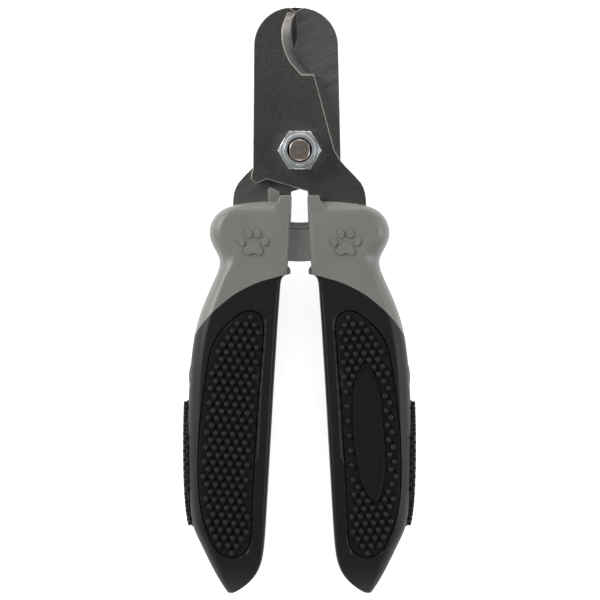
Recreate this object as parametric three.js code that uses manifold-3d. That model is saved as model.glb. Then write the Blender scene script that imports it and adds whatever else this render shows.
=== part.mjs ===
// Scissor nail clipper for pets, lying on its back, in millimetres.
// The origin is on the pivot axis, on the surface that the clipper rests on. +Y runs from the
// handles to the jaws, +Z is up through the lock nut, and +X is towards the right handle.
// Each half is the same set of parts: the left half is the right half turned over about the Y axis.
import * as THREE from "three";
import { mergeVertices } from "three/addons/utils/BufferGeometryUtils.js";
import Module from "manifold-3d";

const wasm = await Module();
wasm.setup();

// ---- driving dimensions ----
const REST_DEPTH = 8.6; // from the plane where the blades meet down to the rest plane
const PLATE = 3; // blade plate thickness
const SLIP = 0.05; // half the clearance between the two plates
const GAP = 0.3; // clearance between pieces moulded round each other
const HEAD_R = 10.1; // round end of the jaws
const BOLT_R = 3; // M6
const HOLE_R = 3.1;
const BOLT_FLAT = 2.65; // half the distance across the bolt's two flats
const NUT_AF = 10; // across flats
const NUT_H = 6;
const SPRING_R = 24; // radius of the spring's arc about the pivot
const SLEEVE_RADIAL = 5.1; // half height of the outer sleeve, along the radius
const SLEEVE_Z = 4.6; // half width of the outer sleeve, across the plates
const SLEEVE_WALL = 1;
const POCKET_DEG = 17.3; // angle of the sleeve pocket's bottom from the clipper's centre line
const NUB_H = 0.9; // height of the grip's nubs, which the pads' solids include
const PAD_DEPTH = 1.4; // how far a pad is let into the grip
const deg = THREE.MathUtils.degToRad;

// ---- materials ----
const finish = (color, roughness, metalness) =>
  new THREE.MeshStandardMaterial({ color, roughness, metalness });
const steel = finish(0x6f6d6a, 0.35, 1);
const zinc = finish(0xc4cace, 0.22, 1);
const boltSteel = finish(0x8b8078, 0.4, 1);
const greyPlastic = finish(0x7f7f7c, 0.5, 0);
const sleevePlastic = finish(0x5f5f5d, 0.55, 0);
const rubber = finish(0x1c1c1c, 0.7, 0);
const padRubber = finish(0x161616, 0.75, 0);
const nylon = finish(0x0e1626, 0.45, 0);

// ---- helpers ----
const v2 = (x, y) => new THREE.Vector2(x, y);

// A closed BufferGeometry as a manifold solid.
function solid(geometry, matrix) {
  const g = geometry.clone();
  if (matrix) g.applyMatrix4(matrix);
  g.deleteAttribute("normal");
  g.deleteAttribute("uv");
  const merged = mergeVertices(g, 1e-4);
  return new wasm.Manifold(
    new wasm.Mesh({
      numProp: 3,
      vertProperties: merged.attributes.position.array,
      triVerts: new Uint32Array(merged.index.array),
    }),
  );
}

function mesh(manifold, name, material) {
  const m = manifold.getMesh();
  const g = new THREE.BufferGeometry()
    .setAttribute("position", new THREE.BufferAttribute(m.vertProperties, 3))
    .setIndex(new THREE.BufferAttribute(m.triVerts, 1));
  g.computeVertexNormals();
  const made = new THREE.Mesh(g, material);
  made.name = name;
  return made;
}

// A plan-view outline between two heights, with an optional rounded edge at both faces.
function slab(shape, z0, z1, round = 0, roundZ = round, steps = 3) {
  const g = new THREE.ExtrudeGeometry(shape, {
    depth: z1 - z0 - 2 * roundZ,
    bevelEnabled: round > 0,
    bevelThickness: roundZ,
    bevelSize: round,
    bevelOffset: -round,
    bevelSegments: steps,
    curveSegments: 8,
  });
  return solid(g, new THREE.Matrix4().makeTranslation(0, 0, z0 + roundZ));
}

// A side-view outline, drawn in Y and Z, carried across the clipper from x0 to x1.
function sideSlab(shape, x0, x1) {
  const g = new THREE.ExtrudeGeometry(shape, { depth: x1 - x0, bevelEnabled: false, curveSegments: 8 });
  const turn = new THREE.Matrix4().makeBasis(
    new THREE.Vector3(0, 1, 0),
    new THREE.Vector3(0, 0, 1),
    new THREE.Vector3(1, 0, 0),
  );
  return solid(g, new THREE.Matrix4().makeTranslation(x0, 0, 0).multiply(turn));
}

function box(x0, x1, y0, y1, z0, z1) {
  const g = new THREE.BoxGeometry(x1 - x0, y1 - y0, z1 - z0);
  return solid(g, new THREE.Matrix4().makeTranslation((x0 + x1) / 2, (y0 + y1) / 2, (z0 + z1) / 2));
}

function cylinder(r, z0, z1, segments = 32, topR = r) {
  const g = new THREE.CylinderGeometry(topR, r, z1 - z0, segments);
  g.rotateX(Math.PI / 2);
  return solid(g, new THREE.Matrix4().makeTranslation(0, 0, (z0 + z1) / 2));
}

// A smooth line of points through the given ones.
function smooth(points, count) {
  return new THREE.SplineCurve(points.map(([x, y]) => v2(x, y))).getPoints(count);
}

const closed = (points) => new THREE.Shape(points);
const outline = (points) => closed(points.map(([x, y]) => v2(x, y)));
const grown = (points, dx, dy = 0) => points.map((p) => v2(p.x + dx, p.y + dy));

// ---- blades: jaw on the left, tang in the right handle ----
// The cutting edge lies in the plane where the plates meet, and the bevel rises to the outer face.
const FRONT = {
  head: v2(-1.9, 27.6), // centre of the jaw's round end
  side: -12.25, // the jaw's outer edge beside the pivot
  edge: [
    [-0.95, 36.4],
    [-1.85, 34.2],
    [-2.05, 30.9],
    [-1.35, 27.2],
    [0.35, 23.9],
    [3.7, 20.3],
  ],
  bevel: [
    [-3, 36.2],
    [-4.3, 33.2],
    [-4.6, 30.7],
    [-4.2, 27.4],
    [-2.5, 23.4],
    [0.6, 19.9],
  ],
};
const REAR = {
  head: v2(-0.1, 27.7),
  side: -10.9,
  edge: [
    [1.05, 36.7],
    [0.9, 34.4],
    [0.65, 31.1],
    [1.2, 27.4],
    [2.5, 24.2],
    [4.1, 21.2],
  ],
  bevel: [
    [-1.2, 36.4],
    [-1.6, 33.8],
    [-1.8, 31],
    [-1.2, 27.2],
    [0.2, 23.6],
    [1.8, 20.8],
  ],
};

function bladeShape({ head, side, edge }) {
  const s = new THREE.Shape(smooth(edge, 10).reverse());
  s.absarc(head.x, head.y, HEAD_R, deg(95), Math.PI, false);
  s.lineTo(side, -3);
  const hook = [
    [side, -4.8],
    [-12.7, -7.3],
    [-11.4, -8.6],
    [-9.8, -7.9],
    [-8.6, -7.5],
  ];
  smooth(hook, 8).forEach((p) => s.lineTo(p.x, p.y));
  s.lineTo(2.15, -10.7); // lower edge, down to the tang
  s.lineTo(2.4, -17);
  s.lineTo(9.4, -17.6);
  s.lineTo(9.6, -31);
  s.lineTo(12, -38);
  s.lineTo(15.4, -70);
  s.absarc(18.2, -71.5, 3.2, deg(200), deg(350), false);
  s.lineTo(19.6, -38);
  s.lineTo(17, -29);
  const shoulder = [
    [17.6, -14.5],
    [17.35, -11.2],
    [16.1, -8.3],
    [13, -5],
    [10.8, -2.6],
    [9.1, 0.2],
  ];
  smooth(shoulder, 10).forEach((p) => s.lineTo(p.x, p.y));
  s.lineTo(3.9, 19.8);
  return s;
}

// The wedge of steel that is ground off to make the bevel.
function bevelCutter({ edge, bevel }) {
  const low = smooth(edge, 10);
  const high = smooth(bevel, 10);
  const far = 14;
  const rise = 0.3 / PLATE; // the wedge carries on a little past both faces of the plate
  const under = low.map((p, i) => p.clone().lerp(high[i], -rise));
  const over = low.map((p, i) => p.clone().lerp(high[i], 1 + rise));
  const ring = (line) => [...line, v2(far, line[10].y), v2(far, line[0].y)];
  const bottom = ring(under);
  const top = ring(over);
  const n = bottom.length;
  const position = [];
  bottom.forEach((p) => position.push(p.x, p.y, SLIP - 0.3));
  top.forEach((p) => position.push(p.x, p.y, SLIP + PLATE + 0.3));
  const index = [];
  THREE.ShapeUtils.triangulateShape(bottom, []).forEach(([a, b, c]) => {
    index.push(a, c, b, n + a, n + b, n + c);
  });
  for (let i = 0; i < n; i++) {
    const j = (i + 1) % n;
    index.push(i, j, n + j, i, n + j, n + i);
  }
  const g = new THREE.BufferGeometry()
    .setAttribute("position", new THREE.BufferAttribute(new Float32Array(position), 3))
    .setIndex(index);
  return solid(g);
}

function blade(name, form) {
  const plate = slab(bladeShape(form), SLIP, SLIP + PLATE);
  const hole = cylinder(HOLE_R, -1, PLATE + 1, 40);
  return mesh(plate.subtract(bevelCutter(form)).subtract(hole), name, steel);
}

// ---- handle ----
// Half thickness of the handle along its length, as [y, half thickness].
const THICKNESS = [
  [-10, 6.3],
  [-21, 7.2],
  [-30, 6.9],
  [-45, 7.3],
  [-58, 7.7],
  [-96, 7.7],
  [-107, 6.4],
  [-113, 4.4],
  [-118, 1.6],
];
const OUTER = [
  [9.5, -13.35],
  [14.8, -13.8],
  [18.4, -14.6],
  [20.8, -15.8],
  [22.7, -17.7],
  [23.7, -20],
  [23.8, -22.6],
  [22.8, -25.2],
  [21.4, -27.3],
  [20.9, -29.2],
  [21.2, -31.2],
  [22.9, -35],
  [25.2, -40],
  [27, -45.2],
  [28.3, -52.2],
  [29.1, -62],
  [29.5, -74],
  [29.4, -86],
  [28.8, -94.5],
  [26.7, -102.6],
  [24.2, -107.5],
  [21.6, -112.4],
];
const TIP = [
  [19.6, -115.2],
  [17.2, -116.4],
  [15, -115.3],
  [12.7, -112.7],
  [10.2, -109.6],
];
const INNER_LOW = [
  [9.6, -107.5],
  [8.2, -86],
  [6.8, -62],
  [5.75, -45],
  [4.9, -33.6],
];
const INNER_HIGH = [
  [4.4, -33.1],
  [3, -30],
  [2.3, -19],
  [2, -11.75],
];
const DIVIDE = [
  [2, -32.8],
  [4.9, -32.95],
  [7.4, -33.6],
  [10.2, -34.4],
  [13.7, -35.9],
  [17.4, -38],
  [20.2, -40.2],
  [22.7, -42.4],
  [25.2, -45.2],
  [28, -49],
  [34, -58],
];

function thicknessShape(extra) {
  const top = THICKNESS.map(([y, h]) => v2(y, Math.max(h + extra, 0.5)));
  const under = top.map((p) => v2(p.x, -p.y)).reverse();
  return closed([...top, ...under].reverse());
}

// The whole handle, plastic and rubber together. Its inner face is flat and its outer edges are round.
function handleBlank() {
  const outer = smooth(OUTER, 32);
  const tip = smooth([OUTER[OUTER.length - 1], ...TIP], 8).slice(1);
  const inside = [v2(4, -103), v2(-8, -90), v2(-8, -9)];
  const plump = slab(closed([v2(5.8, -9), v2(5.8, -13.2), ...outer, ...tip, ...inside]), -8, 8, 2, 3.2, 3);
  const low = smooth(INNER_LOW, 6);
  const face = closed([
    v2(-12, -120),
    v2(10.4, -120),
    ...low,
    ...INNER_HIGH.map(([x, y]) => v2(x, y)),
    v2(2, -5),
    v2(-12, -5),
  ]);
  const tower = closed([v2(1.9, -11.7), v2(5.4, -11.7), v2(5.8, -20), v2(1.9, -20)]);
  const above = box(-5, 40, -11.75, 0, -10, 10);
  return plump
    .add(slab(tower, -6.3, 6.3))
    .subtract(slab(face, -12, 12))
    .subtract(above)
    .intersect(sideSlab(thicknessShape(0), -5, 40));
}

// Plan-view region above or below the line where the rubber starts.
function region(below, shift) {
  const line = smooth(DIVIDE, 16).map((p) => v2(p.x, p.y + shift));
  const far = below ? -130 : 5;
  const end = [v2(40, line[line.length - 1].y), v2(40, far), v2(-5, far), v2(-5, line[0].y)];
  return slab(closed([...line, ...end]), -12, 12);
}

// The hard spine inside the rubber, and its flange along the inner face.
function spine(grow) {
  const inner = smooth(INNER_LOW, 6);
  const edge = [v2(4.2 - grow, -30), v2(17.2 + grow, -30), v2(20.4 + grow, -42), v2(24.6 + grow, -60)];
  const rest = [v2(25.4 + grow, -80), v2(22.5 + grow, -101 - grow), v2(9.4 - grow, -104.5 - grow)];
  const core = slab(closed([...edge, ...rest, ...grown(inner.slice(1), -grow)]), -4.6 - grow, 4.6 + grow);
  const outside = grown([...inner].reverse(), 1.1 + grow);
  const end = [v2(10.7 + grow, -107.5 - grow), v2(7.6, -107.5 - grow)];
  const wall = closed([v2(3, -30), v2(5.6 + grow, -30), ...outside, ...end, ...grown(inner, -2)]);
  return core.add(slab(wall, -6.6 - grow, 6.6 + grow));
}

// The space swept about the pivot by a rounded bar: radial half height a, half width b, between two angles.
function arcBar(a, b, from, to) {
  const s = new THREE.Shape();
  const start = deg(from - 90);
  const end = deg(to - 90);
  s.absarc(0, 0, SPRING_R + a, start, end, false);
  s.absarc(0, 0, SPRING_R - a, end, start, true);
  return slab(s, -b, b);
}

// The room that the plate takes in a handle, with clearance all round it.
function tangRoom() {
  const plate = slab(bladeShape(FRONT), SLIP - 0.1, SLIP + PLATE + GAP);
  const ways = [[GAP, 0, 0], [-GAP, 0, 0], [0, -GAP, 0]];
  return ways.reduce((room, way) => room.add(plate.translate(way)), plate);
}

// The two grey half shells with the tang and the spring pocket between them. The stop bumps meet when the
// handles close, and the tab meets the other half's blade when they open.
function shells(blank, frontName, backName) {
  const stop = outline([[3.6, -30], [2.75, -30.6], [2.3, -31.4], [2.3, -32.3], [5.2, -32.75], [5, -29.8]]);
  const tab = outline([[5.2, -10.7], [7.5, -9.6], [8, -9.65], [8.3, -10.1], [7.9, -14.5], [5.3, -14.5]]);
  const body = blank
    .intersect(region(false, 0.15))
    .add(spine(0).intersect(blank).intersect(region(true, 1)))
    .add(slab(stop, -3, 3));
  const room = arcBar(SLEEVE_RADIAL + 0.15, SLEEVE_Z + 0.15, -10, POCKET_DEG);
  const hollow = body.subtract(room).subtract(tangRoom());
  const back = hollow.intersect(box(-5, 40, -130, 0, -10, -SLIP)).add(slab(tab, -2.85, -0.25));
  const front = hollow.intersect(box(-5, 40, -130, 0, SLIP, 10));
  return [mesh(front, frontName, greyPlastic), mesh(back, backName, greyPlastic)];
}

const PAD = [
  [13.1, -42.2],
  [10.6, -43.2],
  [9.6, -46],
  [9.95, -53],
  [10.9, -64],
  [11.6, -76],
  [12.4, -90],
  [12.8, -100],
  [13.6, -104.2],
  [15.8, -106.2],
  [18.6, -106.5],
  [21.2, -105.2],
  [23.2, -102],
  [25, -97],
  [26.1, -91],
  [26.4, -83],
  [26.1, -73],
  [24.8, -62],
  [23.4, -53.5],
  [21.5, -48.8],
  [18.3, -45.2],
  [13.1, -42.2],
];
const padShape = (grow) => {
  const line = smooth(PAD, 42);
  const mid = v2(17.4, -76);
  return closed(line.slice(0, -1).map((p) => {
    const out = p.clone().sub(mid).normalize().multiplyScalar(grow);
    return p.clone().add(out);
  }));
};
const SIDE_PAD_MID = -82.2;
const SIDE_PAD_HALF = 16.5;

function sidePad(inset, out, grow) {
  const s = new THREE.Shape();
  s.absellipse(SIDE_PAD_MID, 0, SIDE_PAD_HALF + grow, 4.4 + grow, 0, Math.PI * 2);
  const line = smooth(OUTER.slice(15, 21), 14);
  const band = closed([...grown(line, -inset), ...grown([...line].reverse(), out)]);
  return sideSlab(s, 15, 35).intersect(slab(band, -6, 6));
}

function grip(blank, name) {
  const sunk = slab(padShape(GAP), -12, 12).subtract(sideSlab(thicknessShape(-PAD_DEPTH - GAP), -5, 40));
  const rubberBody = blank
    .intersect(region(true, -0.15))
    .subtract(spine(GAP))
    .subtract(sunk)
    .subtract(sidePad(1.5, 3, GAP));
  return mesh(rubberBody, name, rubber);
}

function pads(side) {
  const layer = slab(padShape(0), -12, 12)
    .intersect(sideSlab(thicknessShape(NUB_H), -5, 40))
    .subtract(sideSlab(thicknessShape(-PAD_DEPTH), -5, 40));
  const turned = side === "left";
  const upper = layer.intersect(box(-5, 40, -130, 0, 0, 12));
  const lower = layer.intersect(box(-5, 40, -130, 0, -12, 0));
  return [
    mesh(upper, side + (turned ? "_back_pad" : "_front_pad"), padRubber),
    mesh(lower, side + (turned ? "_front_pad" : "_back_pad"), padRubber),
    mesh(sidePad(1.2, 1.3, 0), side + "_side_pad", padRubber),
  ];
}

// One half of the clipper: the right one as drawn, the left one turned over.
function half(side) {
  const group = new THREE.Group();
  const blank = handleBlank();
  const turned = side === "left";
  group.add(turned ? blade("rear_blade", REAR) : blade("front_blade", FRONT));
  const names = ["_front_shell", "_back_shell"].map((n) => side + n);
  group.add(...shells(blank, ...(turned ? names.reverse() : names)));
  group.add(grip(blank, side + "_grip"), ...pads(side));
  if (turned) group.rotation.y = Math.PI;
  return group;
}

// ---- pivot hardware, all on the Z axis ----
const WASHER_TOP = -SLIP - PLATE - 0.1; // under the rear blade
const GUARD_TOP = WASHER_TOP - 0.5;
const WAVE_TOP = GUARD_TOP - 1.1;
const HEAD_TOP = WAVE_TOP - 0.7;
const NUT_BASE = SLIP + PLATE + 0.05;

function pivotBolt() {
  const head = cylinder(4.6, -REST_DEPTH, -REST_DEPTH + 0.7, 36, 5.4).add(
    cylinder(5.4, -REST_DEPTH + 0.7, HEAD_TOP, 36),
  );
  const shank = cylinder(BOLT_R, HEAD_TOP - 0.5, NUT_BASE + NUT_H - 0.4, 40).add(
    cylinder(BOLT_R, NUT_BASE + NUT_H - 0.4, NUT_BASE + NUT_H + 0.1, 40, BOLT_R - 0.5),
  );
  const flats = box(BOLT_FLAT, 5, -5, 5, SLIP, 20).add(box(-5, -BOLT_FLAT, -5, 5, SLIP, 20));
  return mesh(head.add(shank.subtract(flats)), "pivot_bolt", boltSteel);
}

function lockNut() {
  const cornerR = NUT_AF / 2 / Math.cos(Math.PI / 6);
  const hex = cylinder(cornerR, NUT_BASE, NUT_BASE + 4.6, 6);
  const trim = cylinder(5.05, NUT_BASE - 0.01, NUT_BASE + 0.7, 36, 5.75)
    .add(cylinder(5.75, NUT_BASE + 0.7, NUT_BASE + 3.9, 36))
    .add(cylinder(5.75, NUT_BASE + 3.9, NUT_BASE + 4.61, 36, 4.9));
  const collar = cylinder(4.4, NUT_BASE + 4, NUT_BASE + 5.5, 36).add(
    cylinder(4.4, NUT_BASE + 5.5, NUT_BASE + NUT_H, 36, 3.9),
  );
  const bore = cylinder(HOLE_R, 0, 20, 40);
  const seat = cylinder(3.85, NUT_BASE + 3.9, NUT_BASE + 5.55, 36);
  const mouth = cylinder(3.3, NUT_BASE + 5.5, NUT_BASE + 7, 36);
  const made = hex.intersect(trim).add(collar).subtract(bore).subtract(seat).subtract(mouth);
  return mesh(made.rotate([0, 0, 30]), "lock_nut", zinc);
}

function ring(name, outerR, innerR, z0, z1, material) {
  return mesh(cylinder(outerR, z0, z1, 36).subtract(cylinder(innerR, z0 - 1, z1 + 1, 36)), name, material);
}

// A washer pressed into three gentle waves.
function waveWasher() {
  const steps = 36;
  const position = [];
  for (let i = 0; i < steps; i++) {
    const a = (i / steps) * Math.PI * 2;
    const lift = 0.1 * Math.cos(3 * a);
    for (const [r, z] of [[3.25, 0], [5, 0], [5, 0.3], [3.25, 0.3]])
      position.push(r * Math.cos(a), r * Math.sin(a), HEAD_TOP + 0.2 + z + lift);
  }
  const index = [];
  for (let i = 0; i < steps; i++)
    for (let k = 0; k < 4; k++) {
      const a = 4 * i + k;
      const b = 4 * i + ((k + 1) % 4);
      const c = 4 * ((i + 1) % steps) + ((k + 1) % 4);
      const d = 4 * ((i + 1) % steps) + k;
      index.push(a, c, b, a, d, c);
    }
  const g = new THREE.BufferGeometry()
    .setAttribute("position", new THREE.BufferAttribute(new Float32Array(position), 3))
    .setIndex(index);
  return mesh(solid(g), "wave_washer", zinc);
}

// The stop plate behind the jaws. It steps back from the blades so that a nail's tip fits between.
function nailGuard() {
  const plan = new THREE.Shape();
  plan.absarc(-1.05, 27.7, 10.62, 0, Math.PI, false);
  plan.lineTo(-9, 12);
  plan.absarc(0, 0, 7, Math.PI, Math.PI * 2, false);
  plan.lineTo(9, 12);
  const back = -REST_DEPTH + 0.2;
  const side = closed([
    v2(-8, GUARD_TOP),
    v2(-8, GUARD_TOP - 1),
    v2(9, GUARD_TOP - 1),
    v2(14, back),
    v2(40, back),
    v2(40, back + 1),
    v2(14.4, back + 1),
    v2(9.4, GUARD_TOP),
  ]);
  const plate = slab(plan, -12, 0).intersect(sideSlab(side, -15, 15));
  return mesh(plate.subtract(cylinder(HOLE_R, -12, 0, 40)), "nail_guard", steel);
}

// ---- spring between the handles, on an arc about the pivot ----
const OUTER_END = -8.9; // the outer sleeve is fixed in the right handle and just enters the left one
const INNER_END = 7; // the inner sleeve is fixed in the left handle and slides in the outer one

function sleeves() {
  const bore = SLEEVE_RADIAL - SLEEVE_WALL;
  const boreZ = SLEEVE_Z - SLEEVE_WALL;
  const outer = arcBar(SLEEVE_RADIAL, SLEEVE_Z, OUTER_END, POCKET_DEG - 0.4).subtract(
    arcBar(bore, boreZ, OUTER_END - 5, POCKET_DEG + 5),
  );
  const inner = arcBar(bore - 0.25, boreZ - 0.25, -POCKET_DEG + 0.4, INNER_END).subtract(
    arcBar(bore - 1.05, boreZ - 1.05, -POCKET_DEG - 5, INNER_END + 5),
  );
  return [
    mesh(outer, "outer_spring_sleeve", sleevePlastic),
    mesh(inner, "inner_spring_sleeve", sleevePlastic),
  ];
}

function returnSpring() {
  class Coil extends THREE.Curve {
    getPoint(t, target = new THREE.Vector3()) {
      const turns = 7;
      const reach = POCKET_DEG - 1.8;
      const along = deg(-90 + reach * (2 * t - 1));
      const turn = 2 * Math.PI * turns * t;
      const r = SPRING_R + 1.9 * Math.cos(turn);
      return target.set(r * Math.cos(along), r * Math.sin(along), 1.9 * Math.sin(turn));
    }
  }
  const wire = new THREE.Shape();
  wire.absarc(0, 0, 0.4, 0, Math.PI * 2, false);
  const g = new THREE.ExtrudeGeometry(wire, { extrudePath: new Coil(), steps: 84, curveSegments: 3 });
  return mesh(solid(g), "return_spring", zinc);
}

// ---- assembly ----
const clipper = new THREE.Group();
clipper.position.z = REST_DEPTH;
clipper.add(half("right"), half("left"));
clipper.add(pivotBolt(), lockNut(), waveWasher(), nailGuard(), returnSpring(), ...sleeves());
clipper.add(ring("nut_insert", 3.75, HOLE_R, NUT_BASE + 4, NUT_BASE + 5.45, nylon));
clipper.add(ring("friction_washer", 5.6, HOLE_R + 0.1, WASHER_TOP - 0.4, WASHER_TOP, nylon));

export default clipper;
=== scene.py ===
"""A scissor nail clipper for pets: crossed steel blades on a bolted pivot, grey plastic shells, black rubber grips
with nubbed pads, a sleeved return spring and a stop plate. Lengths below are in millimetres from the pivot."""

import math

import bmesh
import bpy
from mathutils import Matrix, Vector


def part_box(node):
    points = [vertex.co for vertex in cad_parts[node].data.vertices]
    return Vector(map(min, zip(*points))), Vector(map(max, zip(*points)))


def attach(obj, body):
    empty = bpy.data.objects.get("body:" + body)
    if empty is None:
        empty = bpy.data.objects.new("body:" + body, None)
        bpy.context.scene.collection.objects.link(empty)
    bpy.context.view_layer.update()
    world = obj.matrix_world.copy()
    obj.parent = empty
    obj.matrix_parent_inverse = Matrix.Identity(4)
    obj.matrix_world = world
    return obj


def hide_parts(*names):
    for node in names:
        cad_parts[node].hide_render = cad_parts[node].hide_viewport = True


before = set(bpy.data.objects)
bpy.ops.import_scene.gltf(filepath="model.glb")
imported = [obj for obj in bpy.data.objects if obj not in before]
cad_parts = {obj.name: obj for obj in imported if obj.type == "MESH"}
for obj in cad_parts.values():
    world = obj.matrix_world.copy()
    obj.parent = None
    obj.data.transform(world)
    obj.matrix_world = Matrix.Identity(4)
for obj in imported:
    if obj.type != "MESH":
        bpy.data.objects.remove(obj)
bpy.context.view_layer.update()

MM = 0.001
DEPTH = 8.6  # from the plane where the blades meet down to the table
RIGHT = "right_half"
LEFT = "left_half"


# ---------------------------------------------------------------- tools
def place(x, y, z=0.0):
    """A point beside the pivot, with z from the plane where the blades meet, in the row frame."""
    return Vector((x * MM, y * MM, (z + DEPTH) * MM))


def pick(*objects):
    """Selects just these objects, the last one active."""
    if bpy.context.mode != "OBJECT":
        bpy.ops.object.mode_set(mode="OBJECT")
    bpy.ops.object.select_all(action="DESELECT")
    for o in objects:
        o.select_set(True)
        bpy.context.view_layer.objects.active = o


def made(name):
    """Names the primitive that was just added."""
    o = bpy.context.active_object
    o.name = name
    o.data.name = name
    return o


def edit(obj):
    """Opens the object in edit mode with all of it selected."""
    pick(obj)
    bpy.ops.object.mode_set(mode="EDIT")
    bpy.ops.mesh.select_all(action="SELECT")


def done():
    """Leaves edit mode."""
    bpy.ops.object.mode_set(mode="OBJECT")


def choose(obj, keep, kind="FACE"):
    """In edit mode, selects the faces or edges that keep() says yes to."""
    bpy.ops.mesh.select_mode(type=kind)
    bpy.ops.mesh.select_all(action="DESELECT")
    net = bmesh.from_edit_mesh(obj.data)
    for item in net.faces if kind == "FACE" else net.edges:
        item.select_set(bool(keep(item)))
    net.select_flush_mode()
    bmesh.update_edit_mesh(obj.data)


def settle(obj):
    """Puts the object at the origin, unturned and unscaled, with its place in its mesh."""
    pick(obj)
    bpy.ops.object.transform_apply(location=True, rotation=True, scale=True)
    return obj


def modify(obj, kind, **settings):
    """Adds a modifier and applies it."""
    pick(obj)
    mod = obj.modifiers.new(kind.title(), kind)
    for key, value in settings.items():
        setattr(mod, key, value)
    bpy.ops.object.modifier_apply(modifier=mod.name)
    return obj


def soften(obj, angle=35):
    """Smooth shading below the angle, with the large faces kept flat."""
    pick(obj)
    bpy.ops.object.shade_smooth_by_angle(angle=math.radians(angle))
    return modify(obj, "WEIGHTED_NORMAL", keep_sharp=True, weight=80)


def ease(obj, width, segments=2, angle=30, clamp=True):
    """Rounds every edge sharper than the angle."""
    return modify(
        obj, "BEVEL", width=width * MM, segments=segments, limit_method="ANGLE", angle_limit=math.radians(angle),
        use_clamp_overlap=clamp,
    )


def twin(obj, name):
    """A copy with its own mesh."""
    o = obj.copy()
    o.data = obj.data.copy()
    o.name = name
    o.data.name = name
    bpy.context.scene.collection.objects.link(o)
    return o


def carve(obj, tool, how="DIFFERENCE"):
    """Cuts, adds or keeps what the tool takes in, and uses the tool up."""
    modify(obj, "BOOLEAN", operation=how, object=tool, solver="EXACT")
    bpy.data.objects.remove(tool)


def join(first, *others):
    """Makes the others part of the first."""
    pick(*others, first)
    bpy.ops.object.join()
    return first


def other_half(obj, name):
    """The same piece for the left half, which is the right half turned over about the Y axis."""
    o = twin(obj, name)
    to_plane = Matrix.Translation((0, 0, DEPTH * MM))
    from_plane = Matrix.Translation((0, 0, -DEPTH * MM))
    o.matrix_world = to_plane @ Matrix.Rotation(math.pi, 4, "Y") @ from_plane
    return settle(o)


def cad_copy(node, name, merge=0.002):
    """A CAD node's solid as a clean piece of its own, with corners closer than merge mm made one."""
    o = twin(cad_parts[node], name)
    o.parent = None
    for key in list(o.keys()):
        if key.startswith("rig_"):
            del o[key]
    o.data.materials.clear()
    edit(o)
    bpy.ops.mesh.remove_doubles(threshold=merge * MM)
    bpy.ops.mesh.dissolve_limited(angle_limit=math.radians(0.6))
    done()
    if o.data.has_custom_normals:
        pick(o)
        bpy.ops.mesh.customdata_custom_splitnormals_clear()
    return o


def trim_to(obj, node):
    """Brings any corner that an eased edge has pushed out back to the CAD node's box."""
    low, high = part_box(node)
    for v in obj.data.vertices:
        v.co = [min(max(c, a), b) for c, a, b in zip(v.co, low, high)]
    return obj


def smooth_line(points, per_span=6, closed=False):
    """Points along a Catmull-Rom curve through the given ones."""
    n = len(points)
    spans = n if closed else n - 1
    out = []
    for i in range(spans):
        if closed:
            a, b, c, d = (Vector(points[(i + k) % n]) for k in (-1, 0, 1, 2))
        else:
            a, b, c, d = (Vector(points[min(max(i + k, 0), n - 1)]) for k in (-1, 0, 1, 2))
        for j in range(per_span):
            t = j / per_span
            square = (2 * a - 5 * b + 4 * c - d) * t * t
            cube = (3 * b - a - 3 * c + d) * t**3
            out.append(0.5 * (2 * b + (c - a) * t + square + cube))
    if not closed:
        out.append(Vector(points[-1]))
    return out


def plate(name, outline, low, high):
    """A flat piece with a plan outline, between two heights."""
    bpy.ops.object.select_all(action="DESELECT")
    bpy.ops.mesh.primitive_circle_add(vertices=len(outline), radius=MM, fill_type="NGON")
    o = made(name)
    for v, p in zip(o.data.vertices, outline):
        v.co = place(p[0], p[1], low)
    edit(o)
    bpy.ops.mesh.extrude_region_move(TRANSFORM_OT_translate={"value": (0, 0, (high - low) * MM)})
    bpy.ops.mesh.select_all(action="SELECT")
    bpy.ops.mesh.normals_make_consistent(inside=False)
    done()
    return o


def bead(name, where, size, lean=0.0):
    """A small smooth cushion: a ball pressed to a size, leant in plan."""
    bpy.ops.object.select_all(action="DESELECT")
    bpy.ops.mesh.primitive_uv_sphere_add(segments=28, ring_count=16, radius=MM, location=where, rotation=(0, 0, lean))
    o = made(name)
    o.scale = size
    settle(o)
    bpy.ops.object.shade_smooth()
    return o


# ---------------------------------------------------------------- materials
class Value:
    """A socket that arithmetic works on."""

    def __init__(self, finish, socket):
        self.finish = finish
        self.socket = socket

    def _math(self, operation, a, b):
        return self.finish.node("ShaderNodeMath", {"operation": operation}, {0: a, 1: b})

    def __add__(self, other):
        return self._math("ADD", self, other)

    def __radd__(self, other):
        return self._math("ADD", other, self)

    def __mul__(self, other):
        return self._math("MULTIPLY", self, other)

    def __rmul__(self, other):
        return self._math("MULTIPLY", other, self)


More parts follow.
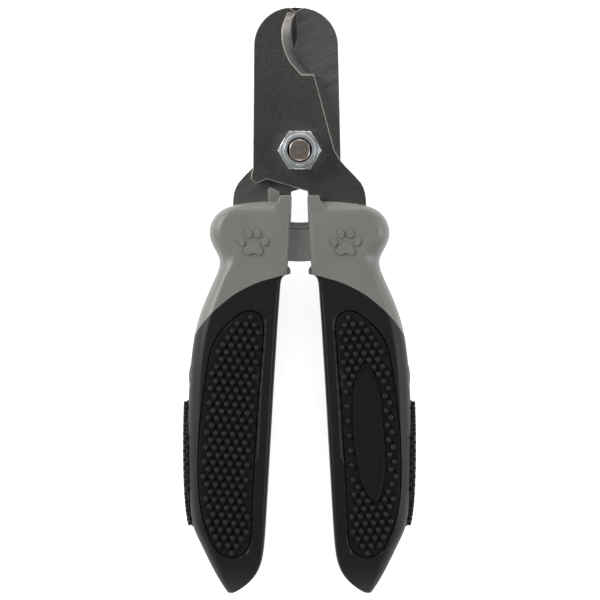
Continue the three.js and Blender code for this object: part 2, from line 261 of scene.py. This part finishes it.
class Finish:
    """One material: what a piece is made of."""

    def __init__(self, name, color, roughness, metallic=0.0, **fixed):
        self.material = bpy.data.materials.new(name)
        self.material.use_nodes = True
        self.tree = self.material.node_tree
        self.shader = next(n for n in self.tree.nodes if n.type == "BSDF_PRINCIPLED")
        self.set("Base Color", (*color, 1))
        self.set("Roughness", roughness)
        self.set("Metallic", metallic)
        for key, value in fixed.items():
            self.set(key.replace("_", " "), value)
        self.material.diffuse_color = (*color, 1)

    def set(self, socket, value):
        """Joins a value to one of the shader's sockets, or writes a constant on it."""
        if isinstance(value, Value):
            self.tree.links.new(value.socket, self.shader.inputs[socket])
        else:
            self.shader.inputs[socket].default_value = value

    def node(self, kind, settings=None, inputs=None, output=0):
        """Adds a node and gives one of its outputs."""
        n = self.tree.nodes.new(kind)
        for key, value in (settings or {}).items():
            setattr(n, key, value)
        for key, value in (inputs or {}).items():
            if isinstance(value, Value):
                self.tree.links.new(value.socket, n.inputs[key])
            else:
                n.inputs[key].default_value = value
        return Value(self, n.outputs[output])

    def spot(self):
        """Where a point is on the piece, in metres."""
        return self.node("ShaderNodeTexCoord", output="Object")

    def along(self, run, across, turn):
        """The same, drawn out in plan: one unit is run mm long in the turned direction and across mm wide."""
        sizes = (run * MM, across * MM, run * MM)
        links = {"Vector": self.spot(), "Scale": sizes, "Rotation": (0, 0, math.radians(turn))}
        return self.node("ShaderNodeMapping", {"vector_type": "TEXTURE"}, links)

    def noise(self, spot, scale, detail, rough):
        links = {"Vector": spot, "Scale": scale, "Detail": detail, "Roughness": rough}
        return self.node("ShaderNodeTexNoise", None, links)

    def ramp(self, value, low, high):
        """0 below low, 1 above high, and even between them."""
        return self.node("ShaderNodeMapRange", None, {0: value, 1: low, 2: high, 3: 0.0, 4: 1.0})

    def blend(self, share, one, two):
        """The first colour where share is 0, the second where it is 1."""
        links = {0: share, 6: (*one, 1), 7: (*two, 1)}
        return self.node("ShaderNodeMix", {"data_type": "RGBA"}, links, output=2)

    def bumps(self, *layers):
        """Bump layers as (height, strength, distance in mm), one on top of the other."""
        normal = None
        for height, strength, distance in layers:
            links = {"Height": height, "Strength": strength, "Distance": distance * MM}
            if normal:
                links["Normal"] = normal
            normal = self.node("ShaderNodeBump", None, links)
        self.set("Normal", normal)


def brushed_steel(name, color, lighter, turn, roughness, streak, speckle):
    """Ground steel: streak and speckle say how much of the tone comes from grinding lines and from fine grain."""
    f = Finish(name, color, roughness, 1.0)
    lines = f.noise(f.along(11, 0.4, turn), 1, 4, 0.6)
    hairs = f.noise(f.along(6, 0.16, turn), 1, 2, 0.6)
    grain = f.noise(f.spot(), 2700, 2, 0.65)
    cloud = f.noise(f.spot(), 70, 2, 0.5)
    marks = (lines * 0.6 + hairs * 0.4) * streak + grain * speckle + cloud * (1 - streak - speckle)
    share = f.ramp(marks, 0.34, 0.66)
    f.set("Base Color", f.blend(share, color, lighter))
    f.set("Roughness", roughness - 0.04 + 0.08 * share)
    f.bumps((lines + hairs, 0.12 * streak, 0.03), (grain, 0.12 * speckle, 0.03))
    return f.material


def ground_edge(name, color, roughness):
    """Ground steel on the bevels, with fine marks across them, darker lower down and paler towards the tips as a
    painted highlight.
    """
    f = Finish(name, color, roughness, 1.0)
    marks = f.noise(f.along(0.5, 4, 20), 1, 3, 0.6)
    height = f.node("ShaderNodeSeparateXYZ", None, {0: f.spot()}, output=1)
    # Painted highlight: the bevel colour goes from a darker tone to a paler one towards the blade tips.
    painted_tip_highlight = f.ramp(height + 0.002 * marks, 0.0312, 0.0336)
    f.set("Base Color", f.blend(painted_tip_highlight, tuple(c * 0.6 for c in color), color))
    f.set("Roughness", roughness + 0.12 * marks)
    f.bumps((marks, 0.1, 0.03),)
    return f.material


def moulded(name, color, lighter, roughness, grain_strength=0.1, **fixed):
    """Moulded plastic or rubber, with a fine grain."""
    f = Finish(name, color, roughness, **fixed)
    cloud = f.noise(f.spot(), 130, 3, 0.6)
    grain = f.noise(f.spot(), 2600, 2, 0.5)
    f.set("Base Color", f.blend(f.ramp(cloud * 0.6 + grain * 0.4, 0.35, 0.65), color, lighter))
    f.set("Roughness", roughness - 0.04 + 0.1 * f.ramp(grain, 0.35, 0.7))
    f.bumps((grain, grain_strength, 0.03),)
    return f.material


def plated(name, color, roughness, metallic):
    """Plated steel, a little cloudy."""
    f = Finish(name, color, roughness, metallic)
    cloud = f.noise(f.spot(), 420, 3, 0.6)
    f.set("Base Color", f.blend(f.ramp(cloud, 0.35, 0.7), color, tuple(c * 0.84 for c in color)))
    f.set("Roughness", roughness + 0.06 * f.ramp(cloud, 0.4, 0.7))
    f.bumps((cloud, 0.05, 0.02),)
    return f.material


def turned(name, color, darker, roughness):
    """Lathe-turned steel, with rings about the pivot."""
    f = Finish(name, color, roughness, 1.0)
    rings = f.node(
        "ShaderNodeTexWave", {"wave_type": "RINGS", "rings_direction": "Z"},
        {"Vector": f.spot(), "Scale": 520, "Distortion": 0.6, "Detail": 2.0}, output=1,
    )
    wear = f.noise(f.spot(), 900, 3, 0.6)
    f.set("Base Color", f.blend(f.ramp(rings * 0.5 + wear * 0.5, 0.25, 0.75), darker, color))
    f.set("Roughness", roughness + 0.1 * wear)
    f.bumps((rings, 0.1, 0.03), (wear, 0.1, 0.03))
    return f.material


FRONT_STEEL = brushed_steel("front_blade_steel", (0.20, 0.19, 0.18), (0.29, 0.277, 0.264), 3, 0.4, 0.15, 0.7)
REAR_STEEL = brushed_steel("rear_blade_steel", (0.38, 0.37, 0.36), (0.50, 0.49, 0.475), 27, 0.38, 0.75, 0.15)
GUARD_STEEL = brushed_steel("guard_steel", (0.1, 0.095, 0.09), (0.15, 0.145, 0.14), 90, 0.42, 0.5, 0.3)
KEEN = ground_edge("ground_bevel", (0.33, 0.325, 0.32), 0.34)
# The arrises' pale cream colour is a painted highlight for the glint along the plates' edges.
ARRIS_HIGHLIGHT = moulded("arris_painted_highlight", (0.36, 0.34, 0.31), (0.56, 0.53, 0.485), 0.3, 0.05, Metallic=0.3)
ZINC = plated("zinc_plate", (0.92, 0.955, 0.975), 0.15, 0.7)
BOLT = turned("bolt_steel", (0.72, 0.62, 0.55), (0.5, 0.43, 0.38), 0.34)
GREY = moulded("grey_shell_plastic", (0.208, 0.206, 0.194), (0.236, 0.234, 0.22), 0.42)
DARK_GREY = moulded("sleeve_plastic", (0.215, 0.213, 0.203), (0.25, 0.248, 0.237), 0.4)
RUBBER = moulded(
    "grip_rubber", (0.0038, 0.0038, 0.0038), (0.0056, 0.0056, 0.0055), 0.52, 0.2, Specular_IOR_Level=0.42
)
PAD = moulded("pad_rubber", (0.0018, 0.0018, 0.0018), (0.003, 0.003, 0.0029), 0.62, 0.2, Specular_IOR_Level=0.3)
# The nubs use the pad rubber made lighter, a painted highlight for their lit tops.
LIT_NUB_RUBBER = moulded("nub_rubber_painted_highlight", (0.011, 0.011, 0.011), (0.018, 0.018, 0.018), 0.5, 0.15)
NYLON = moulded("nylon", (0.003, 0.006, 0.018), (0.006, 0.01, 0.026), 0.35)


def dress(obj, material, slot, body, *nodes):
    """Gives a finished piece its material, its body and the CAD nodes that it stands for; slot is not used."""
    obj.data.materials.clear()
    obj.data.materials.append(material)
    for face in obj.data.polygons:
        face.material_index = 0
    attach(obj, body)
    if nodes:
        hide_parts(*nodes)
    return obj


# ---------------------------------------------------------------- handle form
# Stations down the right handle: y, inner side, outer side, half thickness, width of the sloped outer flank.
STATIONS = [
    (-13.35, 2.05, 9.5, 5.0, 1.4),
    (-13.8, 2.06, 14.8, 5.6, 2.0),
    (-14.5, 2.1, 18.4, 6.35, 2.6),
    (-15.7, 2.15, 20.8, 7.2, 3.0),
    (-17.6, 2.22, 22.7, 7.25, 3.0),
    (-20.0, 2.38, 23.7, 7.28, 2.8),
    (-22.7, 2.5, 23.8, 7.3, 3.0),
    (-25.2, 2.65, 22.8, 7.3, 4.2),
    (-27.2, 2.8, 21.5, 7.25, 4.6),
    (-29.0, 2.95, 20.9, 7.2, 3.8),
    (-31.0, 3.15, 21.2, 7.2, 3.0),
    (-32.6, 3.3, 21.9, 7.2, 2.7),
    (-33.2, 4.85, 22.15, 7.2, 2.7),
    (-36.0, 5.1, 23.4, 7.25, 2.9),
    (-40.0, 5.35, 25.2, 7.35, 3.1),
    (-45.0, 5.75, 27.0, 7.5, 3.1),
    (-52.0, 6.15, 28.3, 7.65, 3.0),
    (-62.0, 6.8, 29.1, 7.7, 3.0),
    (-74.0, 7.45, 29.5, 7.7, 3.0),
    (-86.0, 8.15, 29.4, 7.7, 3.0),
    (-94.0, 8.6, 28.9, 7.7, 3.0),
    (-99.0, 8.9, 28.1, 7.5, 3.0),
    (-102.6, 9.15, 26.3, 7.1, 3.0),
    (-107.3, 9.6, 24.1, 6.3, 2.9),
    (-111.0, 11.0, 22.2, 5.3, 2.5),
    (-113.6, 13.2, 20.7, 4.3, 2.0),
    (-115.5, 15.8, 19.4, 3.1, 1.3),
    (-116.3, 17.3, 18.9, 2.0, 0.6),
]
# Half of the section, from the inner side over the front face to the outer side: the share of the flat face's
# width, the share of the flank's width, and the share of the half thickness.
SECTION = [
    (0, 0, 0),
    (0, 0, 0.5),
    (0, 0, 0.78),
    (0.016, 0, 0.93),
    (0.048, 0, 0.995),
    (0.06, 0, 1),
    (0.33, 0, 1),
    (0.66, 0, 1),
    (0.97, 0, 1),
    (1, 0.03, 0.992),
    (1, 0.5, 0.87),
    (1, 0.86, 0.68),
    (1, 1, 0.4),
    (1, 1, 0),
]


def ring_at(station):
    """The section's points at a station, in mm, all the way round."""
    y, inner, outer, half, flank = station
    whole = SECTION + [(a, b, -w) for a, b, w in SECTION[-2:0:-1]]
    return [Vector((inner + a * (outer - inner - flank) + b * flank, y, w * half)) for a, b, w in whole]


def reshape(obj, from_ring, to_ring):
    """In edit mode, moves the selected ring's vertices from one ring's points to another's."""
    net = bmesh.from_edit_mesh(obj.data)
    for v in net.verts:
        if v.select:
            nearest = min(range(len(from_ring)), key=lambda k: (from_ring[k] - v.co).length)
            v.co = to_ring[nearest]
    bmesh.update_edit_mesh(obj.data)


def handle_form():
    """The right handle as one smooth body: a ring of the section, extruded from station to station."""
    rings = [ring_at(station) for station in STATIONS]
    bpy.ops.object.select_all(action="DESELECT")
    bpy.ops.mesh.primitive_circle_add(vertices=len(rings[0]), radius=MM, fill_type="NOTHING")
    o = made("handle_form")
    for v, point in zip(o.data.vertices, rings[0]):
        v.co = point
    edit(o)
    for last, ring in zip(rings, rings[1:]):
        bpy.ops.mesh.extrude_edges_move(TRANSFORM_OT_translate={"value": (0, 0, 0)})
        reshape(o, last, ring)
    for y in (STATIONS[0][0], STATIONS[-1][0]):
        choose(o, lambda e: all(abs(v.co.y - y) < 0.01 for v in e.verts), "EDGE")
        bpy.ops.mesh.edge_face_add()
        bpy.ops.mesh.select_mode(type="FACE")
        bpy.ops.mesh.inset(thickness=0.35, depth=0)
        bpy.ops.mesh.poke()
    bpy.ops.mesh.select_all(action="SELECT")
    bpy.ops.mesh.normals_make_consistent(inside=False)
    done()
    o.scale = (MM, MM, MM)
    o.location = (0, 0, DEPTH * MM)
    settle(o)
    return modify(o, "SUBSURF", levels=2, render_levels=2)


# The line where the grey plastic ends and the rubber starts
DIVIDE = [
    (0, -32.3), (4.9, -32.95), (7.4, -33.6), (10.2, -34.4), (13.7, -35.9), (17.4, -38), (20.2, -40.2), (22.7, -42.4),
    (25.2, -45.2), (28, -49), (34, -58),
]


def below_divide(name):
    """A tool that takes in everything below the line where the rubber starts."""
    return plate(name, [*smooth_line(DIVIDE, 6), (40, -58), (40, -125), (0, -125)], -12, 12)


PAD_LINE = [
    (13.1, -42.2), (10.6, -43.2), (9.6, -46), (9.95, -53), (10.9, -64), (11.6, -76), (12.4, -90), (12.8, -100),
    (13.6, -104.2), (15.8, -106.2), (18.6, -106.5), (21.2, -105.2), (23.2, -102), (25, -97), (26.1, -91), (26.4, -83),
    (26.1, -73), (24.8, -62), (23.4, -53.5), (21.5, -48.8), (18.3, -45.2), (15.3, -42.9),
]
BADGE_LINE = [
    (17.3, -56), (15.6, -58), (14.7, -60.2), (14.2, -64), (14, -70.6), (14.4, -76), (15.1, -81), (16.1, -86),
    (17.4, -89.4), (18.9, -91.5), (20.3, -92), (21.4, -89.6), (22.3, -84.9), (22.4, -78.9), (21.9, -72), (21.1, -64.5),
    (20.1, -61), (18.8, -57.5),
]


def inset_line(points, by):
    """The closed line moved inwards, or outwards for a negative distance."""
    n = len(points)
    area = sum(points[i][0] * points[(i + 1) % n][1] - points[(i + 1) % n][0] * points[i][1] for i in range(n))
    side = 1 if area > 0 else -1
    out = []
    for i in range(n):
        run = (Vector(points[(i + 1) % n]) - Vector(points[i - 1])).normalized()
        out.append(Vector(points[i]) + Vector((-run.y, run.x)) * by * side)
    return out


def inside(point, line):
    """True for a point within the closed line."""
    hit = False
    x, y = point
    n = len(line)
    for i in range(n):
        (x1, y1), (x2, y2) = line[i], line[(i + 1) % n]
        if (y1 > y) != (y2 > y) and x < (x2 - x1) * (y - y1) / (y2 - y1) + x1:
            hit = not hit
    return hit


# ---------------------------------------------------------------- nubs
NUB_PITCH = 2.24  # along a row
NUB_GAP = 1.93  # from row to row


def one_nub():
    """A round-topped stud, standing on the origin."""
    bpy.ops.object.select_all(action="DESELECT")
    bpy.ops.mesh.primitive_cylinder_add(vertices=12, radius=0.64 * MM, depth=1.3 * MM, location=(0, 0, 0.22 * MM))
    o = settle(made("nub"))
    edit(o)
    choose(o, lambda f: f.normal.z > 0.9)
    bpy.ops.mesh.bevel(offset=0.22 * MM, segments=2, affect="EDGES")
    done()
    pick(o)
    bpy.ops.object.shade_smooth()
    return o


def grid(start, run, count):
    """Points in staggered rows that lie along run, each next row further down."""
    run = Vector(run).normalized()
    down = Vector((run.y, -run.x))
    for row in range(-2, count):
        for k in range(-9, 10):
            yield Vector(start) + run * NUB_PITCH * (k + 0.5 * (row % 2)) + down * NUB_GAP * row


def studs(nub, name, spots, surface, start_at, look):
    """Copies of the nub on the surface, each where a line from start_at(spot) along look meets it."""
    copies = []
    for spot in spots:
        hit, where, normal, _ = surface.ray_cast(start_at(spot), look)
        if not hit:
            continue
        o = twin(nub, name)
        o.matrix_world = Matrix.Translation(where) @ normal.to_track_quat("Z", "Y").to_matrix().to_4x4()
        copies.append(o)
    pick(*copies)
    bpy.ops.object.join()
    o = bpy.context.active_object
    o.name = name
    return settle(o)


# ---------------------------------------------------------------- build
WHOLE = [(0, -30), (40, -30), (40, -125), (0, -125)]
form = handle_form()
soften(form, 40)

# Black rubber
grip = twin(form, "right_grip_rubber")
carve(grip, below_divide("tool"), "INTERSECT")
pad_edge = smooth_line(PAD_LINE, 3, closed=True)
groove_line = inset_line(pad_edge, -0.3)
for low, high in ((5.3, 12), (-12, -5.3)):
    carve(grip, plate("tool", groove_line, low, high))
oval = bead("raised_oval", place(28.15, -58.6), (0.95, 3.6, 2.4), math.radians(5))
carve(grip, oval, "UNION")
soften(grip, 32)

# Grey plastic: all above the divide, with the tower, the tab and the stop
shell = twin(form, "right_shell_plastic")
carve(shell, below_divide("tool"))
TOWER = [(2.03, -11.77), (5.25, -11.77), (5.4, -12.9), (5.8, -13.7), (6.8, -14.3), (6.8, -17), (2.25, -17)]
STOP = [(3.8, -29.8), (3.2, -30.1), (2.5, -30.9), (2.35, -31.5), (2.4, -32.4), (4.2, -32.8), (4.2, -30)]
TAB = [(5.2, -10.7), (7.5, -9.6), (8, -9.65), (8.3, -10.1), (7.9, -14.6), (5.3, -14.6)]
for outline, low, high, rounding, segments in (
    (TOWER, -7.12, 7.12, 0.45, 3),
    (STOP, -3, 3, 0.2, 2),
    (TAB, -2.8, -0.3, 0.25, 3),
):
    carve(shell, ease(plate("tool", outline, low, high), rounding, segments), "UNION")

# The pocket that the spring and its sleeves sit in: a bar bent about the pivot, between two turns from straight down
POCKET_NEAR, POCKET_FAR, POCKET_HALF = 18.75, 29.25, 4.75
POCKET_FROM, POCKET_TO, POCKET_STEPS = -10, 17.3, 24
turns = [
    math.radians(POCKET_FROM + (POCKET_TO - POCKET_FROM) * k / POCKET_STEPS) for k in range(POCKET_STEPS + 1)
]
pocket_line = [(POCKET_FAR * math.sin(t), -POCKET_FAR * math.cos(t)) for t in turns]
pocket_line += [(POCKET_NEAR * math.sin(t), -POCKET_NEAR * math.cos(t)) for t in reversed(turns)]
carve(shell, plate("tool", pocket_line, -POCKET_HALF, POCKET_HALF))
soften(shell, 32)

# The paw print: each oval toe's middle and its lean in degrees, and the outline of the bean-shaped pad
TOES = [(9, -24, 24), (10.9, -21.9, 8), (13.3, -21.9, -8), (15.2, -24, -24)]
BEAN = [
    (9.7, -26.9), (9.9, -25.7), (10.8, -24.7), (12.1, -24.3), (13.4, -24.7), (14.3, -25.7), (14.5, -26.9),
    (13.6, -27.5), (12.1, -27), (10.6, -27.5),
]


def paw_print(face):
    """The raised paw on the front face (1) or the back face (-1) of the right shell."""
    low, high = sorted((face * 6.6, face * 7.68))
    pieces = [plate("paw_pad", smooth_line(BEAN, 4, closed=True), low, high)]
    for x, y, lean in TOES:
        where = place(x, y, face * 7.18)
        turn = (0, 0, math.radians(lean))
        bpy.ops.object.select_all(action="DESELECT")
        bpy.ops.mesh.primitive_cylinder_add(vertices=32, radius=MM, depth=MM, location=where, rotation=turn)
        toe = made("toe")
        toe.scale = (0.82, 1.18, 1)
        pieces.append(settle(toe))
    for piece in pieces:
        ease(piece, 0.16, 3)
    return soften(join(*pieces), 40)


dress(shell, GREY, "grey_plastic", RIGHT, "right_front_shell", "right_back_shell")
dress(grip, RUBBER, "grip_rubber", RIGHT, "right_grip")
dress(other_half(shell, "left_shell_plastic"), GREY, "grey_plastic", LEFT, "left_front_shell", "left_back_shell")
dress(other_half(grip, "left_grip_rubber"), RUBBER, "grip_rubber", LEFT, "left_grip")
for face, side, other in ((1, "front", "back"), (-1, "back", "front")):
    paw = paw_print(face)
    paw.name = f"right_{side}_paw"
    dress(paw, GREY, "grey_plastic", RIGHT)
    dress(other_half(paw, f"left_{other}_paw"), GREY, "grey_plastic", LEFT)

# Pads, each a sunk panel with its own field of nubs; the right front one has a smooth badge
nub = one_nub()
pad = twin(form, "pad_blank")
carve(pad, plate("tool", pad_edge, -12, 12), "INTERSECT")
tilt = math.radians(4.7)
field = grid((12.75, -43.85), (math.cos(tilt), math.sin(tilt)), 36)
spots = [p for p in field if inside(p, inset_line(pad_edge, 1.0))]
badge_edge = smooth_line(BADGE_LINE, 4, closed=True)
around_badge = [p for p in spots if not inside(p, inset_line(badge_edge, -0.8))]
for face, side, other, places in ((1, "front", "back", around_badge), (-1, "back", "front", spots)):
    panel = twin(pad, f"right_{side}_pad_rubber")
    cut = plate("tool", WHOLE, -12, 5.1) if face > 0 else plate("tool", WHOLE, -5.1, 12)
    carve(panel, cut)
    if face > 0:
        badge = plate("badge_plate", badge_edge, 7.3, 8.12)
        edit(badge)
        choose(badge, lambda f: f.normal.z > 0.9)
        bpy.ops.mesh.inset(thickness=0.42 * MM, depth=0)
        bpy.ops.mesh.inset(thickness=0.12 * MM, depth=-0.22 * MM)
        done()
        join(panel, ease(badge, 0.08, 2))
    dress(soften(panel, 40), PAD, "pad_rubber", RIGHT, f"right_{side}_pad")
    dress(other_half(panel, f"left_{other}_pad_rubber"), PAD, "pad_rubber", LEFT, f"left_{other}_pad")
    nubs = studs(nub, f"right_{side}_nubs", places, form, lambda p: place(p.x, p.y, face * 12), (0, 0, -face))
    dress(nubs, LIT_NUB_RUBBER, "pad_rubber", RIGHT)
    dress(other_half(nubs, f"left_{other}_nubs"), LIT_NUB_RUBBER, "pad_rubber", LEFT)
bpy.data.objects.remove(pad)

# Side pads: an oval standing a little proud of the grip, with nubs
SIDE_MID, SIDE_LONG, SIDE_WIDE = -82.2, 16.6, 4.7
form.location.x = 0.4 * MM
settle(form)
bpy.ops.object.select_all(action="DESELECT")
bpy.ops.mesh.primitive_cylinder_add(
    vertices=64, radius=MM, depth=20 * MM, location=place(36, SIDE_MID), rotation=(0, math.pi / 2, 0)
)
oval = made("tool")
oval.scale = (SIDE_WIDE, SIDE_LONG, 1)
settle(oval)
side = twin(form, "right_side_pad_rubber")
carve(side, oval, "INTERSECT")
dress(soften(side, 40), PAD, "pad_rubber", RIGHT, "right_side_pad")
dress(other_half(side, "left_side_pad_rubber"), PAD, "pad_rubber", LEFT, "left_side_pad")
offsets = [(NUB_PITCH * (k + 0.5 * (row % 2)), NUB_GAP * row) for row in range(-2, 3) for k in range(-8, 9)]
offsets = [(a, b) for a, b in offsets if (a / (SIDE_LONG - 0.3)) ** 2 + (b / (SIDE_WIDE - 0.4)) ** 2 < 1]
nubs = studs(nub, "right_side_nubs", offsets, form, lambda p: place(34, SIDE_MID + p[0], p[1]), (-1, 0, 0))
dress(nubs, LIT_NUB_RUBBER, "pad_rubber", RIGHT)
dress(other_half(nubs, "left_side_nubs"), LIT_NUB_RUBBER, "pad_rubber", LEFT)
bpy.data.objects.remove(nub)
bpy.data.objects.remove(form)


# Steel: the plates' sharp edges are eased to narrow arrises, given a pale colour as a painted highlight
def steel_piece(node, name, finish, body, arris, outer_face):
    """A copy of a plate with eased edges. outer_face is the way that its ground bevel faces, 1 up or -1 down."""
    o = cad_copy(node, name, 0.12)
    flats = [(f.center.copy(), f.normal.copy()) for f in o.data.polygons if f.area > 0.02 * MM * MM]

    def on_a_flat(face):
        return any(
            face.normal.dot(normal) > 0.9998 and abs((face.center - middle).dot(normal)) < 0.01 * MM
            for middle, normal in flats
        )

    trim_to(ease(o, arris, 2, clamp=False), node)
    dress(soften(o, 30), finish, "blade_steel", body, node)
    o.data.materials.append(KEEN)
    o.data.materials.append(ARRIS_HIGHLIGHT)
    for f in o.data.polygons:
        if on_a_flat(f):
            f.material_index = 1 if 0.2 < f.normal.z * outer_face < 0.9 else 0
        else:
            # The eased edge faces take the pale painted highlight.
            f.material_index = 2


steel_piece("front_blade", "front_blade_steel", FRONT_STEEL, RIGHT, 0.2, 1)
steel_piece("rear_blade", "rear_blade_steel", REAR_STEEL, LEFT, 0.16, -1)
guard = cad_copy("nail_guard", "nail_guard_steel")
ease(guard, 0.15, 2)
dress(soften(guard, 30), GUARD_STEEL, "blade_steel", "guard", "nail_guard")

# The outer sleeve has a broad chamfer along its edges nearest the pivot
SLEEVE_NEAR, SLEEVE_HALF = 18.9, 4.6


def on_near_corner(vertex):
    x, y, z = vertex.co / MM
    return abs(math.hypot(x, y) - SLEEVE_NEAR) < 0.1 and abs(abs(z - DEPTH) - SLEEVE_HALF) < 0.1


sleeve = cad_copy("outer_spring_sleeve", "outer_spring_sleeve_piece")
edit(sleeve)
choose(sleeve, lambda e: all(on_near_corner(v) for v in e.verts) and e.calc_length() > 0.3 * MM, "EDGE")
bpy.ops.mesh.bevel(offset=1.7 * MM, segments=1, affect="EDGES")
done()
trim_to(ease(sleeve, 0.14, 2, 60), "outer_spring_sleeve")
dress(soften(sleeve, 30), DARK_GREY, "sleeve_plastic", RIGHT, "outer_spring_sleeve")

for node, finish, slot, body in (
    ("pivot_bolt", BOLT, "bolt_steel", RIGHT),
    ("lock_nut", ZINC, "zinc", RIGHT),
    ("nut_insert", NYLON, "nylon", RIGHT),
    ("friction_washer", NYLON, "nylon", RIGHT),
    ("wave_washer", ZINC, "zinc", RIGHT),
    ("inner_spring_sleeve", DARK_GREY, "sleeve_plastic", LEFT),
    ("return_spring", ZINC, "zinc", RIGHT),
):
    piece = cad_copy(node, node + "_piece")
    if node != "return_spring":
        ease(piece, 0.12, 2, 25)
    dress(soften(piece, 30), finish, slot, body, node)


# ---------------------------------------------------------------- studio
MIDDLE = (0, -0.039, 0)  # of the clipper
CAMERA_HEIGHT = 1.2
SUBJECT_HEIGHT = 0.0125  # where the view is VIEW_WIDTH across
VIEW_WIDTH = 0.1575
SENSOR = 36


def lamp(name, where, size, power):
    """A square soft lamp, aimed at the clipper."""
    bpy.ops.object.light_add(type="AREA", location=where)
    o = bpy.context.active_object
    o.name = name
    o.data.size = size
    o.data.energy = power
    o.rotation_euler = (Vector(MIDDLE) - Vector(where)).to_track_quat("-Z", "Y").to_euler()


bpy.ops.object.select_all(action="DESELECT")
bpy.ops.mesh.primitive_plane_add(size=6, location=(0, 0, -0.0002))
floor = settle(made("floor"))
card = Finish("white_card", (0.9, 0.9, 0.9), 0.9)
card.set("Emission Color", (1, 1, 1, 1))
card.set("Emission Strength", 0.85)
floor.data.materials.append(card.material)

world = bpy.data.worlds.new("studio")
world.use_nodes = True
world.node_tree.nodes["Background"].inputs[0].default_value = (0.045, 0.045, 0.046, 1)
bpy.context.scene.world = world

bpy.context.scene.view_settings.view_transform = "Standard"

lamp("key", (-0.75, 0.3, 0.5), 0.45, 7)
lamp("fill", (0.8, -0.05, 0.5), 0.45, 4)
lamp("back", (0.05, 0.9, 0.5), 0.5, 3)
lamp("low", (0.0, -0.95, 0.5), 0.5, 2)

camera = bpy.data.objects.new("camera", bpy.data.cameras.new("camera"))
bpy.context.scene.collection.objects.link(camera)
camera.location = (0.00013, -0.03924, CAMERA_HEIGHT)
camera.data.sensor_width = SENSOR
camera.data.lens = SENSOR * (CAMERA_HEIGHT - SUBJECT_HEIGHT) / VIEW_WIDTH
bpy.context.scene.camera = camera
